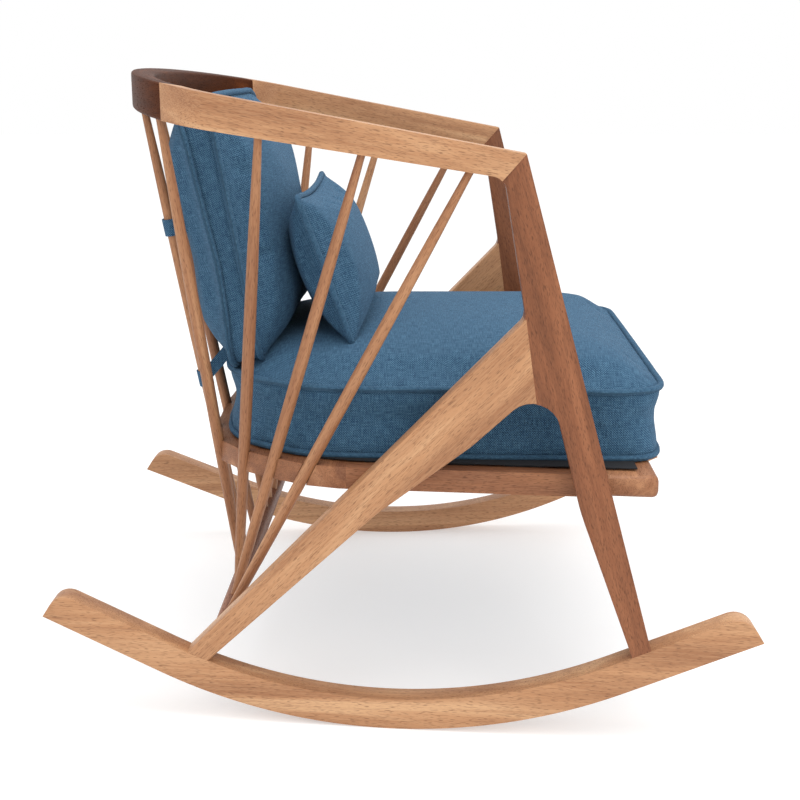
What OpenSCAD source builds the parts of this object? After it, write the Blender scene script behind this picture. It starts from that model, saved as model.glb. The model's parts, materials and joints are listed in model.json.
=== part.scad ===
// Rocking chair with a bent top rail, eleven spindles and loose cushions.
// Millimetres. X points forward, Y to the sitter's left, Z up; the floor is z = 0.

/* [Rockers] */
// Length of a rocker, measured level along the floor
rocker_len = 901; // [760:1:1100]
// Radius of the rocking arc
rocker_r = 725; // [600:5:900]
// Level half length of the round stretch; the ends run on straight
rocker_arc_half = 292; // [250:1:330]
// Height of the rocker's section
rocker_depth = 39; // [32:0.5:48]
// Radius of the upper corner at each tip
tip_r = 24; // [10:1:28]
// Angle by which a tip's end face leans back
tip_lean = 9; // [0:1:15]
// Where the rockers touch the floor, from the middle of their length
contact_x = -7.5; // [-40:0.5:40]

/* [Side frames] */
// Thickness of the rockers, legs and braces
side_t = 30; // [24:1:36]
// Half of the width across the rockers, at the middle and on the floor
side_half = 373; // [320:1:450]
// Angle by which the side frames spread towards the front
toe_angle = 4.63; // [0:0.01:8]
// Angle by which the side frames lean inwards towards the top
lean_angle = 3.54; // [0:0.01:6]
// Rake of the front edge of the legs
leg_rake = 15.27; // [12:0.01:18]

/* [Top rail] */
// Height of the top edge at the front end of the arms
arm_top_z = 713; // [690:1:740]
// Forward position of the front end of the arms
arm_front_x = 154; // [140:1:170]
// Fall of the top edge from back to front, in mm per mm
rail_fall = 0.188; // [0.1:0.001:0.25]
// Thickness of the arms and the back bow
rail_t = 29; // [24:1:36]
// Height of the rail's section at the front end
rail_h_front = 31.5; // [26:0.5:40]
// Height of the rail's section at the middle of the back
rail_h_back = 45.5; // [36:0.5:55]
// How much wider the rail is at its widest place than at the front, on each side
rail_swell = 20.5; // [5:0.5:40]
// Forward position of the widest place
rail_wide_x = -207.5; // [-240:0.5:-180]
// Depth of the curved back of the rail
bow_depth = 147; // [110:1:190]
// Place of the joints between the arms and the back bow, in degrees from the middle
bow_joint_angle = 65; // [62:0.5:80]

/* [Spindles] */
// Forward positions of the three spindles under each arm, front to back
arm_spindle_x = [89, -36.5, -155]; // [-180:0.5:110]
// Places of the paired spindles on the bow, in degrees from the middle
bow_spindle_angle = [55.5, 29.6]; // [15:0.5:60]
// Feet of the paired spindles on the cross rail, from the side to the middle
spindle_foot_y = [290, 246, 199, 152, 105]; // [60:1:320]
// Diameter at the top of a spindle
spindle_d_top = 9.5; // [8:0.5:12]
// Largest diameter of a spindle
spindle_d_max = 15.5; // [12:0.5:20]
// Diameter at the foot of a spindle
spindle_d_foot = 11.5; // [9:0.5:14]
// Length of a spindle's end in its hole
spindle_tenon = 13; // [8:1:16]
// Diameter of the cross rail
cross_rail_d = 24; // [20:1:30]
// Forward position of the cross rail
cross_rail_x = -218; // [-226:1:-210]
// Height of the cross rail's axis
cross_rail_z = 117; // [108:1:124]
// Diameter of the cross rail's ends
tenon_d = 14; // [10:1:16]
// Length of the cross rail's ends in the braces
tenon_reach = 18; // [12:1:22]

/* [Seat frame] */
// Height of the underside of the seat frame
seat_z = 300; // [285:1:320]
// Thickness of the seat frame
seat_h = 28; // [22:0.5:34]
// Forward position of the front edge of the seat frame
seat_front_x = 322; // [305:1:335]
// Width of the seat frame's rails
seat_rail_w = 60; // [50:1:76]
// Depth at which the spindles stand in the back edge
notch_depth = 2; // [-3:0.5:5]
// Width of a webbing strap
strap_w = 50; // [40:1:60]
// Thickness of a webbing strap
strap_t = 2.5; // [2:0.1:4]
// Number of straps
strap_count = 6; // [4:1:7]
// Thickness of the platform cloth
cloth_t = 1.2; // [0.8:0.1:2]
// Wooden margin around the platform cloth
cloth_margin = 22; // [12:1:30]

/* [Seat cushion] */
// Height of the seat cushion at its edges
cushion_h = 88; // [60:1:100]
// Rise of the seat cushion's middle above its edges
cushion_crown = 57; // [10:1:60]
// Half width of the seat cushion at the front
cushion_half = 296; // [240:1:305]
// Forward position of the seat cushion's front
cushion_front_x = 330; // [300:1:345]

/* [Back cushion] */
// Width of the back cushion
back_w = 440; // [340:1:460]
// Height of the back cushion along its slope
back_l = 336; // [270:1:345]
// Angle by which the back cushion leans back
back_lean = 12.75; // [8:0.25:16]
// Thickness of the back cushion at its sides
back_edge = 45; // [30:1:60]
// Rise of the back cushion's front face
back_front_crown = 55; // [10:1:58]
// Rise of the back cushion's rear face
back_rear_crown = 48; // [10:1:52]
// Width of the fixing loops
loop_w = 22; // [14:1:30]
// Thickness of the fixing loops' cloth
loop_t = 2; // [1:0.1:3]
// Width of the strap from a loop to the cushion
loop_strap_w = 16; // [10:1:24]

/* [Throw pillow] */
// Width of the throw pillow
pillow_w = 400; // [260:1:440]
// Height of the throw pillow
pillow_l = 228; // [180:1:235]
// Thickness of the throw pillow
pillow_t = 98; // [60:1:104]
// Angle by which the throw pillow leans back
pillow_lean = 10.4; // [6:0.1:14]

/* [Fits] */
// Clearance around dowels, tenons and spindle ends, on the radius
fit_gap = 0.05; // [0.02:0.01:0.1]
// Clear space around a spindle in its notch in the seat frame
notch_gap = 0.6; // [0.4:0.1:2]
// Clear space between loose soft pieces and what they lie on
soft_gap = 1; // [0.5:0.1:3]
// Clear space between the seat cushion and the spindles
cushion_gap = 12; // [6:0.5:20]
// Diameter of the dowels
dowel_d = 8; // [6:1:10]
// Reach of a dowel on each side of its joint
dowel_reach = 14; // [10:1:16]

/* [Hidden] */

wood = "#c08a5e";
wood_dark = "#8a5636";
wood_leg = "#a5694a";
blue = "#44709a";
black = "#26262a";
right = -1;
left = 1;
far = 1400;

// ---- Outlines with rounded corners ------------------------------------------

function unit(v) = v / norm(v);
function cross2(a, b) = a[0] * b[1] - a[1] * b[0];

// Points of the arc of radius r that rounds corner b, which lies between a and c
function corner(a, b, c, r, steps = 8) =
    let (u = unit(a - b), v = unit(c - b))
    let (half = acos(u * v) / 2)
    let (centre = b + unit(u + v) * r / sin(half))
    let (p = b + u * r / tan(half) - centre, q = b + v * r / tan(half) - centre)
    let (turn = atan2(cross2(p, q), p * q))
    [for (i = [0 : steps])
        let (t = turn * i / steps)
        centre + [p[0] * cos(t) - p[1] * sin(t), p[0] * sin(t) + p[1] * cos(t)]];

// Outline through corners [x, y, radius]; a radius of 0 keeps the corner sharp
function rounded(pts) =
    let (n = len(pts))
    [for (i = [0 : n - 1])
        let (p = pts[i], a = pts[(i + n - 1) % n], c = pts[(i + 1) % n])
        each p[2] == 0 ? [[p[0], p[1]]]
            : corner([a[0], a[1]], [p[0], p[1]], [c[0], c[1]], p[2])];

// The same corners of a counter-clockwise outline moved inwards by d
function inset(pts, d) =
    let (n = len(pts))
    [for (i = [0 : n - 1])
        let (p = pts[i], a = pts[(i + n - 1) % n], c = pts[(i + 1) % n])
        let (u = unit([p[0] - a[0], p[1] - a[1]]), v = unit([c[0] - p[0], c[1] - p[1]]))
        let (m = [-u[1] - v[1], u[0] + v[0]] * d / (1 + u * v))
        [p[0] + m[0], p[1] + m[1], p[2]]];

// ---- Side frames ----------------------------------------------------------------

toe = tan(toe_angle);
lean = tan(lean_angle) / cos(toe_angle);
side_t_level = side_t * norm([toe, 1, lean]);

// Distance of a side frame's outer and inner face from the middle, at x and height z
function side_y(x, z) = side_half + toe * x - lean * z;
function side_in_y(x, z) = side_y(x, z) - side_t_level;

// The slab between a left side frame's outer and inner faces
module side_slab() {
    translate([0, side_half, 0])
        rotate([lean_angle, 0, toe_angle])
            translate([-far, -side_t, -far])
                cube([2 * far, side_t, 2 * far]);
}

// Cuts a side view out of the slab of the left side frame
module in_side_slab() {
    intersection() {
        side_slab();
        translate([0, far / 2, 0])
            rotate([90, 0, 0])
                linear_extrude(height = far / 2)
                    children();
    }
}

// Draws a part made for the left side, on the left or mirrored to the right
module on_side(side) {
    if (side == left) children();
    else mirror([0, 1, 0]) children();
}

arc_angle = asin(rocker_arc_half / rocker_r);
rocker_top_r = rocker_r - rocker_depth;

// Points of an arc of radius r about the rocker's centre, from angle a to angle b
arc_steps = 44;
function rocker_arc(r, a, b) =
    [for (i = [0 : arc_steps])
        let (t = a + (b - a) * i / arc_steps)
        [contact_x + r * sin(t), rocker_r - r * cos(t), 0]];

// A place in the straight front end: along its lower edge and up from it
function end_place(along, up) =
    [contact_x + rocker_arc_half + along * cos(arc_angle) - up * sin(arc_angle),
        rocker_r - rocker_r * cos(arc_angle) + along * sin(arc_angle) + up * cos(arc_angle)];

// Corners of one end of the rocker that reaches so far from the floor contact
function rocker_tip(reach) =
    let (run = (reach - rocker_arc_half) / cos(arc_angle))
    [concat(end_place(run, 0), 0),
        concat(end_place(run - tan(tip_lean) * rocker_depth, rocker_depth), tip_r)];

// A corner mirrored to the other side of the floor contact
function swap_ends(p) = [2 * contact_x - p[0], p[1], p[2]];

// Side view of a rocker: an arc with straight ends
module rocker_outline() {
    front = rocker_tip(rocker_len / 2 - contact_x);
    back = rocker_tip(rocker_len / 2 + contact_x);
    polygon(rounded(concat(
        rocker_arc(rocker_r, -arc_angle, arc_angle),
        front,
        rocker_arc(rocker_top_r, arc_angle, -arc_angle),
        [swap_ends(back[1]), swap_ends(back[0])]
    )));
}

// Height of the rocker's top edge at a place x on its arc, and on its straight front end
function rocker_top_z(x) = rocker_r - sqrt(pow(rocker_top_r, 2) - pow(x - contact_x, 2));
function rocker_end_z(x) = rocker_r - rocker_top_r * cos(arc_angle)
    + (x - contact_x - rocker_top_r * sin(arc_angle)) * tan(arc_angle);

// Height of the top rail's upper and lower edges at a place x
bow_back_x = rail_wide_x - bow_depth;
rail_growth = (rail_h_back - rail_h_front) / (arm_front_x - bow_back_x);
function rail_top(x) = arm_top_z + rail_fall * (arm_front_x - x);
function rail_h(x) = rail_h_front + rail_growth * (arm_front_x - x);
function rail_bottom(x) = rail_top(x) - rail_h(x);

// Front edge of the leg at a height z
function leg_front(z) = arm_front_x + tan(leg_rake) * (arm_top_z - z);

// The mitre between arm and leg runs from the top front corner to the inner corner
mitre_run = 24.5;
mitre_top = [arm_front_x, arm_top_z];
mitre_low = [arm_front_x - mitre_run, rail_bottom(arm_front_x - mitre_run)];
mitre_fillet = 20;
// Inner corners where the brace meets the leg, above and below
crotch = [157, 522];
crotch_r = 18;
arch = [185, 451];
arch_r = 34;
// Lower end of the glue line between brace and leg, on the arch; it starts at the crotch
glue_low = [171, 423];
// Foot of the leg, its middle and its corners inside the rocker
leg_foot_x = 305;
leg_foot_z = rocker_end_z(leg_foot_x) - 0.3 * rocker_depth;
leg_foot_w = 24.5;
leg_bend = [229, 283];
// Foot of the brace, its middle and its corners inside the rocker
brace_foot_x = -250;
brace_foot_z = rocker_top_z(brace_foot_x);
brace_slope = 46;
brace_sink = 12;
brace_foot_w = 25;
brace_bends = [[95, 367], [-20, 279]];
blend_r = 180;

function brace_foot_corner(across) =
    [brace_foot_x, brace_foot_z]
    - brace_sink * [cos(brace_slope), sin(brace_slope)]
    + across * [sin(brace_slope), -cos(brace_slope)];

// Leg, brace and the start of the arm as one outline, before they are cut apart
outline_back_x = arm_front_x - 90;
outline_room = 10;
outline_top = rail_top(outline_back_x) + outline_room;
module bent_outline() {
    polygon(rounded([
        [outline_back_x, outline_top, 0],
        [outline_back_x, rail_bottom(outline_back_x), 0],
        [mitre_low[0], mitre_low[1], mitre_fillet],
        [crotch[0], crotch[1], crotch_r],
        concat(brace_foot_corner(-brace_foot_w / 2), 0),
        concat(brace_foot_corner(brace_foot_w / 2), 0),
        [brace_bends[1][0], brace_bends[1][1], blend_r],
        [brace_bends[0][0], brace_bends[0][1], blend_r],
        [arch[0], arch[1], arch_r],
        [leg_bend[0], leg_bend[1], blend_r],
        [leg_front(leg_foot_z) - leg_foot_w, leg_foot_z, 0],
        [leg_front(leg_foot_z), leg_foot_z, 0],
        [leg_front(outline_top), outline_top, 0]
    ]));
}

// Everything below and in front of the mitre
mitre_run_up = 60;
mitre_run_down = 160;
below_floor = -50;
module below_mitre() {
    d = unit(mitre_low - mitre_top);
    high = mitre_top - mitre_run_up * d;
    low = mitre_top + mitre_run_down * d;
    polygon([high, low, [low[0], below_floor], [far / 2, below_floor], [far / 2, high[1]]]);
}

// Everything behind the glue line between brace and leg, below the crotch
glue_run = 60;
module behind_glue_line() {
    low = glue_low + glue_run * unit(glue_low - crotch);
    base = low[1] - far / 2;
    polygon([crotch, [-far / 2, crotch[1]], [-far / 2, base], [low[0], base], low]);
}

module leg_outline() {
    difference() {
        intersection() {
            bent_outline();
            below_mitre();
        }
        behind_glue_line();
        rocker_outline();
    }
}

module brace_outline() {
    difference() {
        intersection() {
            bent_outline();
            behind_glue_line();
        }
        rocker_outline();
    }
}

// Frame in a left side frame's outer face at (x, z): x and z in the face, y outwards
module in_side_face(x, z) {
    translate([x, side_y(x, z), z])
        rotate([lean_angle, 0, toe_angle])
            children();
}

module dowel_shape(gap) {
    cylinder(d = dowel_d + 2 * gap, h = 2 * (dowel_reach + gap), center = true, $fn = 32);
}

// A dowel in the middle of the side frame at p, turned from upright in its plane
module side_dowel(p, turn, gap) {
    in_side_face(p[0], p[1])
        translate([0, -side_t / 2, 0])
            rotate([0, turn, 0])
                dowel_shape(gap);
}

// Dowels of the left side frame: two at the feet, two at the glue line
module frame_dowels(gap) {
    across = 90 - atan2(glue_low[0] - crotch[0], crotch[1] - glue_low[1]);
    side_dowel([leg_foot_x, rocker_end_z(leg_foot_x)], -leg_rake, gap);
    side_dowel([brace_foot_x, brace_foot_z], 90 - brace_slope, gap);
    for (t = [0.25, 0.72])
        side_dowel(crotch + (glue_low - crotch) * t, across, gap);
}

// Dowel of the left mitre
module mitre_dowel(gap) {
    d = mitre_top - mitre_low;
    side_dowel((mitre_top + mitre_low) / 2, -atan2(d[1], d[0]), gap);
}

// Dowels between the seat frame and the left leg and brace
seat_mid_z = seat_z + seat_h / 2;
seat_dowel_x = [-24, 10, 232, 249];
module seat_side_dowels(gap) {
    for (x = seat_dowel_x)
        in_side_face(x, seat_mid_z)
            translate([0, -side_t, 0])
                rotate([90, 0, 0])
                    dowel_shape(gap);
}

module rocker(side) {
    color(wood)
        on_side(side)
            difference() {
                in_side_slab() rocker_outline();
                frame_dowels(fit_gap);
            }
}

module front_leg(side) {
    color(wood_leg)
        on_side(side)
            difference() {
                in_side_slab() leg_outline();
                frame_dowels(fit_gap);
                mitre_dowel(fit_gap);
                seat_side_dowels(fit_gap);
            }
}

module brace(side) {
    color(wood)
        on_side(side)
            difference() {
                in_side_slab() brace_outline();
                frame_dowels(fit_gap);
                seat_side_dowels(fit_gap);
                cross_rail_end(fit_gap);
            }
}

// ---- Top rail ---------------------------------------------------------------------

rail_front_half = side_y(arm_front_x, arm_top_z);
rail_half = rail_front_half + rail_swell;
plan_steps = 28;
plan_front_x = arm_front_x + 12;

// Half width of the rail beside its curved back
function rail_side_y(x) =
    rail_half - rail_swell * (x - rail_wide_x) / (arm_front_x - rail_wide_x);

// A place on the left half of the rail's curved back, a degrees from the middle, d inside
function bow_point(a, d = 0) =
    [rail_wide_x - bow_depth * cos(a), rail_half * sin(a)]
    - d * unit([-cos(a) / bow_depth, sin(a) / rail_half]);

// Plan of the rail, d inside its outer face
module rail_plan(d, front_x) {
    polygon([
        [front_x, -(rail_side_y(front_x) - d)],
        [front_x, rail_side_y(front_x) - d],
        for (i = [plan_steps : -1 : -plan_steps]) bow_point(90 * i / plan_steps, d)
    ]);
}

module rail_ring() {
    linear_extrude(height = far)
        difference() {
            rail_plan(0, plan_front_x);
            rail_plan(rail_t, plan_front_x + 20);
        }
}

// Side view of the rail: a wedge that gets lower to the front
module rail_wedge() {
    polygon([
        [bow_back_x - 20, rail_bottom(bow_back_x - 20)],
        [plan_front_x, rail_bottom(plan_front_x)],
        [plan_front_x, rail_top(plan_front_x)],
        [bow_back_x - 20, rail_top(bow_back_x - 20)]
    ]);
}

// Side view of an arm, with the fillet under its mitre
module arm_outline() {
    difference() {
        union() {
            rail_wedge();
            intersection() {
                bent_outline();
                translate([mitre_low[0] - 50, mitre_low[1] - 50])
                    square([100, 70]);
            }
        }
        below_mitre();
    }
}

// Frame at the joint of the left arm and the bow: x along the rail, y outwards
module at_bow_joint() {
    slope = atan2(rail_half * cos(bow_joint_angle), bow_depth * sin(bow_joint_angle));
    p = bow_point(bow_joint_angle);
    translate([p[0], p[1], 0])
        rotate([0, 0, slope])
            children();
}

// Everything in front of the joint on the left
module arm_zone() {
    at_bow_joint()
        translate([0, -far / 2, 0])
            cube([far, far, far]);
}

// Two dowels at the joint of the left arm and the bow, above the spindle holes
bow_dowel_drop = [9, 22];
module bow_dowels(gap) {
    top = rail_top(bow_point(bow_joint_angle, rail_t / 2)[0]);
    for (drop = bow_dowel_drop)
        at_bow_joint()
            translate([0, -rail_t / 2, top - drop])
                rotate([0, 90, 0])
                    dowel_shape(gap);
}

module arm(side) {
    color(wood)
        on_side(side)
            difference() {
                intersection() {
                    rail_ring();
                    translate([0, far / 2, 0])
                        rotate([90, 0, 0])
                            linear_extrude(height = far / 2)
                                arm_outline();
                    arm_zone();
                }
                mitre_dowel(fit_gap);
                bow_dowels(fit_gap);
                for (i = [0 : 2]) spindle_hole(i);
            }
}

module back_bow() {
    color(wood_dark)
        difference() {
            intersection() {
                rail_ring();
                translate([0, far / 2, 0])
                    rotate([90, 0, 0])
                        linear_extrude(height = far)
                            rail_wedge();
            }
            for (side = [right, left])
                on_side(side) {
                    arm_zone();
                    bow_dowels(fit_gap);
                    for (i = [3, 4]) spindle_hole(i);
                }
            spindle_hole(middle);
        }
}

// ---- Spindles -----------------------------------------------------------------------

// Plan places of the spindle tops on the left, front to back; the last one is in the middle
middle = 5;
spindle_top_plan = concat(
    [for (x = arm_spindle_x) [x, rail_side_y(x) - rail_t / 2]],
    [for (a = bow_spindle_angle) bow_point(a, rail_t / 2)],
    [bow_point(0, rail_t / 2)]
);
spindle_top = [for (p = spindle_top_plan) [p[0], p[1], rail_bottom(p[0])]];
spindle_foot = [for (y = concat(spindle_foot_y, 0)) [cross_rail_x, y, cross_rail_z]];
// A spindle is drawn from the cross rail's axis up; its foot ends this far along it
foot_start = cross_rail_d / 2 - spindle_tenon;
neck = 7;

// The length from the cross rail's axis to the rail's underside
function spindle_long(i) = norm(spindle_top[i] - spindle_foot[i]);

// Where the axis of spindle i crosses a height z
function spindle_at(i, z) =
    spindle_foot[i] + (spindle_top[i] - spindle_foot[i])
        * (z - cross_rail_z) / (spindle_top[i][2] - cross_rail_z);

// Radius of a spindle at a share s of its length: it swells from both ends
spindle_widest = 0.5;
function spindle_r(s) =
    let (end = s < spindle_widest ? spindle_d_foot : spindle_d_top)
    let (u = s < spindle_widest ? s / spindle_widest : (1 - s) / (1 - spindle_widest))
    (end + (spindle_d_max - end) * (1 - pow(1 - u, 2.4))) / 2;

// Puts a shape drawn along +z on the axis of spindle i, from its foot upwards
module on_spindle(i) {
    d = spindle_top[i] - spindle_foot[i];
    translate(spindle_foot[i])
        rotate([0, acos(d[2] / norm(d)), atan2(d[1], d[0])])
            children();
}

module spindle_shape(i) {
    start = foot_start + spindle_tenon + neck;
    stop = spindle_long(i) - neck;
    steps = 9;
    on_spindle(i)
        rotate_extrude($fn = 32)
            polygon([
                [0, foot_start],
                [spindle_d_foot / 2, foot_start],
                for (k = [0 : steps]) [spindle_r(k / steps), start + (stop - start) * k / steps],
                [spindle_d_top / 2, spindle_long(i) + spindle_tenon],
                [0, spindle_long(i) + spindle_tenon]
            ]);
}

// The hole for the top of spindle i, open below the rail
module spindle_hole(i) {
    on_spindle(i)
        translate([0, 0, spindle_long(i) - neck])
            cylinder(d = spindle_d_top + 2 * fit_gap, h = neck + spindle_tenon + 1, $fn = 40);
}

// The socket for the foot of spindle i, open above the cross rail
module spindle_socket(i) {
    on_spindle(i)
        translate([0, 0, foot_start - 0.5])
            cylinder(d = spindle_d_foot + 2 * fit_gap, h = cross_rail_d, $fn = 40);
}

// Room for spindle i at the edge of the seat frame; the cut starts on its open side
notch_share = 0.7;
module spindle_notch(i) {
    p = spindle_at(i, seat_mid_z);
    d = spindle_top[i] - spindle_foot[i];
    on_spindle(i)
        rotate([0, 0, atan2(p[1], p[0]) - atan2(d[1], d[0])])
            cylinder(d = spindle_d_max + 2 * notch_gap, h = spindle_long(i) * notch_share, $fn = 40);
}

module spindle(i, side) {
    color(wood)
        on_side(side)
            spindle_shape(i);
}

// ---- Cross rail ---------------------------------------------------------------------

// The end of the cross rail in the left brace
shoulder_y = side_in_y(cross_rail_x, cross_rail_z);
module cross_rail_end(gap) {
    translate([cross_rail_x, shoulder_y - 8, cross_rail_z])
        rotate([-90, 0, 0])
            cylinder(d = tenon_d + 2 * gap, h = 8 + tenon_reach + gap, $fn = 40);
}

module cross_rail() {
    color(wood_dark)
        difference() {
            union() {
                difference() {
                    translate([cross_rail_x, 0, cross_rail_z])
                        rotate([90, 0, 0])
                            cylinder(d = cross_rail_d, h = 2 * shoulder_y + 8, center = true, $fn = 48);
                    for (side = [right, left]) on_side(side) side_slab();
                }
                for (side = [right, left]) on_side(side) cross_rail_end(0);
            }
            for (side = [right, left], i = [0 : 4]) on_side(side) spindle_socket(i);
            spindle_socket(middle);
        }
}

// ---- Seat frame ---------------------------------------------------------------------

seat_top_z = seat_z + seat_h;
seat_shoulder_x = -60;
side_blend_r = 45;

// Left half of a D that runs through the spindles at a height z; r rounds its corners there
function seat_half_corners(z, front, side_half_y, r) =
    concat(
        [front, [seat_shoulder_x, side_half_y, side_blend_r]],
        [for (i = [0 : 4]) let (p = spindle_at(i, z)) [p[0], p[1], r]]
    );

// A left half outline completed with its mirror image, counter-clockwise
function both_halves(pts, mid_x) =
    let (n = len(pts))
    concat(pts, [[mid_x, 0, 0]], [for (i = [n - 1 : -1 : 0]) [pts[i][0], -pts[i][1], pts[i][2]]]);

// Corners of the seat frame's outer edge; the side rails follow the side frames
function seat_corners(front_x) = both_halves(
    seat_half_corners(seat_mid_z, [front_x, side_in_y(front_x, seat_z), 0],
        side_in_y(seat_shoulder_x, seat_z), 0),
    spindle_at(middle, seat_mid_z)[0]
);

// Plan of the seat frame, d inside the line through the spindles
module seat_plan(d, front_x = seat_front_x) {
    polygon(rounded(inset(seat_corners(front_x), d)));
}

// The seat frame as one board, before its opening is cut
module seat_board() {
    difference() {
        translate([0, 0, seat_z])
            linear_extrude(height = seat_h)
                seat_plan(-notch_depth);
        for (side = [right, left])
            on_side(side) {
                side_slab();
                outside_side_slab();
            }
    }
}

// The opening between the side rails; it runs on into the front rail's place
module seat_opening() {
    translate([0, 0, seat_z - 1])
        linear_extrude(height = seat_h + 2)
            seat_plan(seat_rail_w, seat_front_x + seat_rail_w);
}

// Everything outside the left side frame
slab_room = 60;
module outside_side_slab() {
    translate([0, side_half, 0])
        rotate([lean_angle, 0, toe_angle])
            translate([-far, -side_t / 2, -far])
                cube([2 * far, side_t + slab_room, 2 * far]);
}

front_joint_x = seat_front_x - seat_rail_w;
back_joint_x = seat_shoulder_x;

// Butt joint dowels between the left side rail and its neighbours
seat_frame_dowel_in = [26, 47];
module seat_frame_dowels(gap) {
    for (x = [front_joint_x, back_joint_x], d = seat_frame_dowel_in)
        translate([x, side_in_y(x, seat_mid_z) - d, seat_mid_z])
            rotate([0, 90, 0])
                dowel_shape(gap);
}

module seat_front_rail() {
    color(wood)
        difference() {
            intersection() {
                seat_board();
                translate([front_joint_x, -far / 2, 0])
                    cube([far, far, far]);
            }
            for (side = [right, left]) on_side(side) seat_frame_dowels(fit_gap);
        }
}

module seat_side_rail(side) {
    color(wood)
        on_side(side)
            difference() {
                intersection() {
                    seat_board();
                    translate([back_joint_x, 0, 0])
                        cube([front_joint_x - back_joint_x, far, far]);
                }
                seat_opening();
                seat_frame_dowels(fit_gap);
                seat_side_dowels(fit_gap);
            }
}

module seat_back_rail() {
    color(wood)
        difference() {
            intersection() {
                seat_board();
                translate([back_joint_x - far, -far / 2, 0])
                    cube([far, far, far]);
            }
            seat_opening();
            for (side = [right, left])
                on_side(side) {
                    seat_frame_dowels(fit_gap);
                    for (i = [0 : 4]) spindle_notch(i);
                }
            spindle_notch(middle);
        }
}

// Elastic straps from side to side on top of the seat frame
strap_first_x = -188;
strap_front_room = 12;
strap_last_x = front_joint_x - strap_front_room;
strap_lap = 34;
module seat_webbing() {
    pitch = (strap_last_x - strap_first_x) / (strap_count - 1);
    color(black)
        translate([0, 0, seat_top_z])
            linear_extrude(height = strap_t)
                intersection() {
                    for (i = [0 : strap_count - 1])
                        translate([strap_first_x + pitch * i - strap_w / 2, -far / 2])
                            square([strap_w, far]);
                    seat_plan(seat_rail_w - strap_lap);
                }
}

cloth_z = seat_top_z + strap_t;
module platform_cloth() {
    color(black)
        translate([0, 0, cloth_z])
            linear_extrude(height = cloth_t)
                seat_plan(cloth_margin);
}

// ---- Seat cushion -------------------------------------------------------------------

cushion_z = cloth_z + cloth_t + soft_gap;
cushion_top_z = cushion_z + cushion_h;
cushion_inside = spindle_d_max / 2 + cushion_gap;
cushion_front_r = 40;
cushion_shoulder_r = 60;
cushion_side_room = 12;
cushion_front_corner = [cushion_front_x + cushion_inside, cushion_half + cushion_inside, cushion_front_r];
cushion_corners = both_halves(
    seat_half_corners(cushion_z, cushion_front_corner,
        side_in_y(seat_shoulder_x, seat_z) - cushion_side_room, cushion_shoulder_r),
    spindle_at(middle, cushion_z)[0]
);
cushion_back_x = spindle_at(middle, cushion_z)[0] + cushion_inside;
crown_steps = 14;
// The crown is low under the back cushion and highest ahead of the middle
crown_shift = 1.9;
function cushion_rise_x(x) =
    let (t = (x - cushion_back_x) / (cushion_front_x - cushion_back_x))
    cushion_crown * sin(180 * pow(t, crown_shift));
function cushion_rise_y(y) = cushion_crown * (1 - pow(abs(y) / cushion_half, 2.4));

// Seat cushion: its plan, its side view and its front view cut with each other
module seat_cushion() {
    long = cushion_front_x - cushion_back_x;
    color(blue)
        intersection() {
            translate([0, 0, cushion_z])
                linear_extrude(height = far)
                    polygon(rounded(inset(cushion_corners, cushion_inside)));
            translate([0, far / 2, 0])
                rotate([90, 0, 0])
                    linear_extrude(height = far)
                        polygon([
                            [cushion_front_x, 0],
                            for (i = [crown_steps : -1 : 0])
                                let (x = cushion_back_x + long * i / crown_steps)
                                [x, cushion_top_z + cushion_rise_x(x)],
                            [cushion_back_x, 0]
                        ]);
            translate([-far / 2, 0, 0])
                rotate([90, 0, 90])
                    linear_extrude(height = far)
                        polygon([
                            [cushion_half, 0],
                            for (i = [crown_steps : -1 : -crown_steps])
                                let (y = cushion_half * i / crown_steps)
                                [y, cushion_top_z + cushion_rise_y(y)],
                            [-cushion_half, 0]
                        ]);
        }
}

// ---- Back cushion -------------------------------------------------------------------

// Lower rear edge of the back cushion at its sides
back_over_seat = 21.3;
back_foot = [-205, cushion_top_z + back_over_seat];
back_steps = 12;
// How far the front falls back at its top and bottom
back_end_fall = 14;
function bulge(u, power) = 1 - pow(abs(u), power);

// Frame of the back cushion: z up its slope, x out of its front
module in_back_cushion() {
    translate([back_foot[0], 0, back_foot[1]])
        rotate([0, -back_lean, 0])
            children();
}

module back_cushion_shape() {
    span = [for (i = [-back_steps : back_steps]) i / back_steps];
    in_back_cushion()
        intersection() {
            linear_extrude(height = back_l)
                polygon([
                    for (u = span) [back_edge + back_front_crown * bulge(u, 2.4), u * back_w / 2],
                    for (u = span) [-back_rear_crown * bulge(u, 2), -u * back_w / 2]
                ]);
            translate([0, back_w, 0])
                rotate([90, 0, 0])
                    linear_extrude(height = 2 * back_w)
                        polygon([
                            for (u = span)
                                [
                                    back_edge - back_end_fall + (back_front_crown + back_end_fall) * bulge(u, 3),
                                    back_l * (1 + u) / 2
                                ],
                            for (u = span) [-back_rear_crown * bulge(u, 2.6), back_l * (1 - u) / 2]
                        ]);
        }
}

module back_cushion() {
    color(blue)
        back_cushion_shape();
}

// Cloth loops around two spindles: height of the loop, and of its seam on the cushion
loop_spindle = 4;
upper_loop_z = back_foot[1] + 165;
lower_loop_z = cushion_top_z - 21.7;
lower_seam_z = back_foot[1] + 38;
loop_heights = [[upper_loop_z, upper_loop_z], [lower_loop_z, lower_seam_z]];
// How far a strap runs forward, to its seam inside the cushion
loop_strap_run = 70;
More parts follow.
